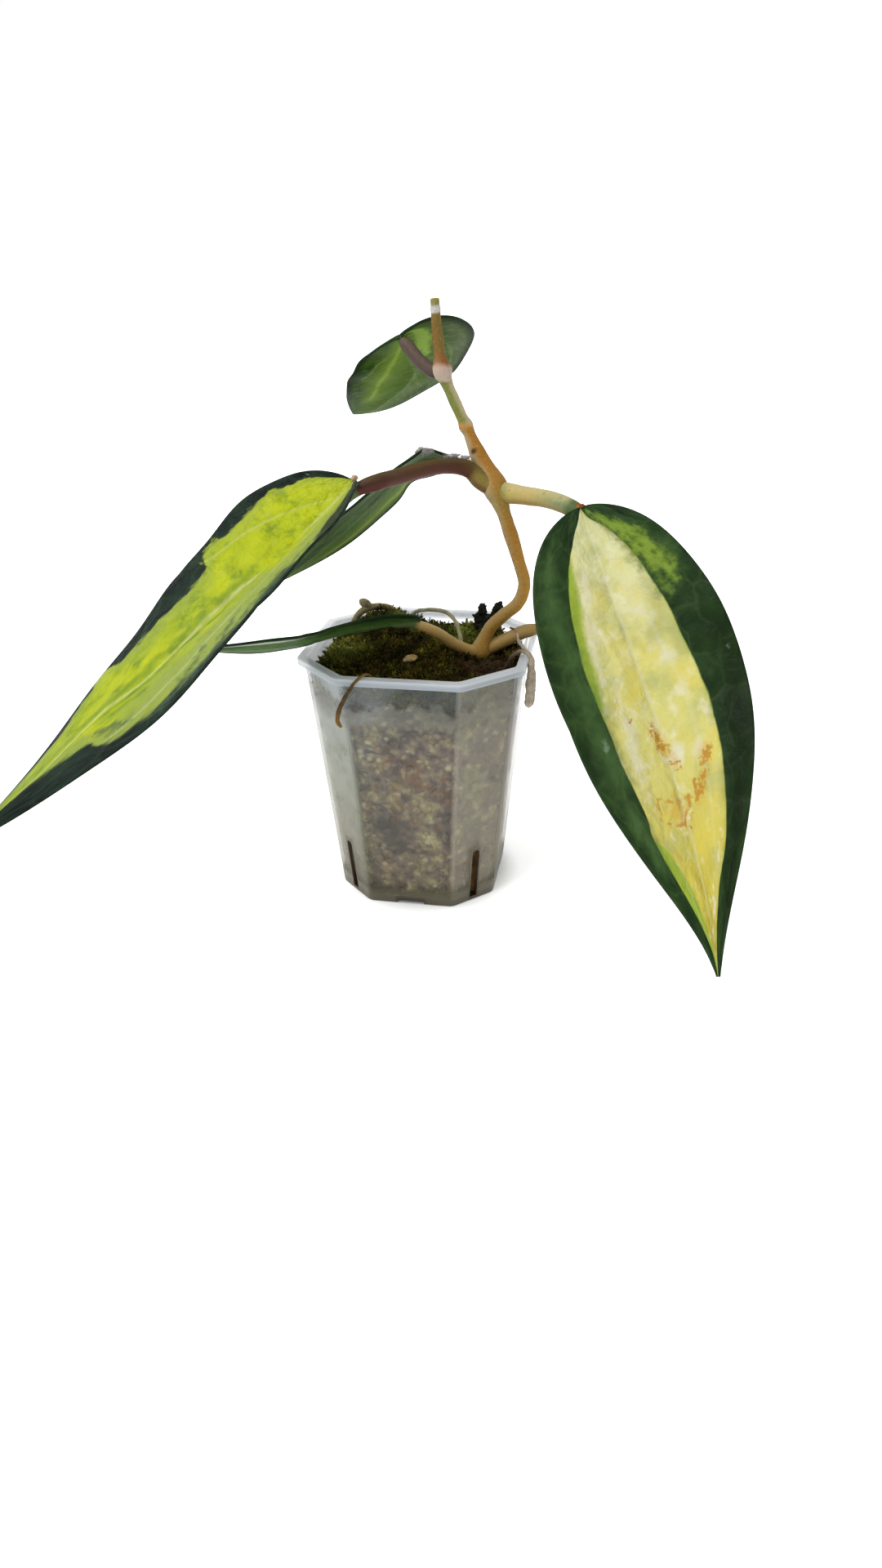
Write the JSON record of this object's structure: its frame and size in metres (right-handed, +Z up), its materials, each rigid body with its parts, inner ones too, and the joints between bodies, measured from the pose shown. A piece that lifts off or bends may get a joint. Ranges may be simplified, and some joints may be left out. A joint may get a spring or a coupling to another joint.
{
  "type": "potted variegated hoya plant",
  "caption": "Young climbing plant in a small milky square pot with cut corners: one bent woody stem, large thick gold and green leaves on stout petioles, and moss on the potting mix.",
  "frame": {"origin": "centre of the pot's flat underside", "axes": "+Z up along the pot's axis, +Y towards the back of the pot as seen in the picture, +X to the right of it; the pot's flat sides face X and Y"},
  "size_m": [0.1846, 0.1643, 0.1667],
  "materials": {
    "pot_plastic": "satin",
    "mix": "matte",
    "moss": "matte",
    "stem": "matte",
    "leaf_cream": "satin",
    "leaf_lime": "satin",
    "leaf_under": "satin",
    "leaf_dark": "satin",
    "root_red": "matte",
    "root_pale": "matte",
    "bark_dark": "matte",
    "bark_tan": "matte"
  },
  "bodies": {
    "root": {"pot": "pot_plastic", "potting_mix": "mix", "moss": "moss", "stem": "stem", "leaf_right_upper": "leaf_cream", "leaf_left_upper": "leaf_lime", "leaf_back_left": "leaf_under", "leaf_top": "leaf_under", "leaf_left_lower": "leaf_under", "leaf_right_lower": "leaf_dark", "root_front": "root_red", "root_right": "root_pale", "root_back": "root_pale", "root_arch": "root_pale", "bark_dark": "bark_dark", "bark_chip": "bark_tan"}
  },
  "joints": []
}
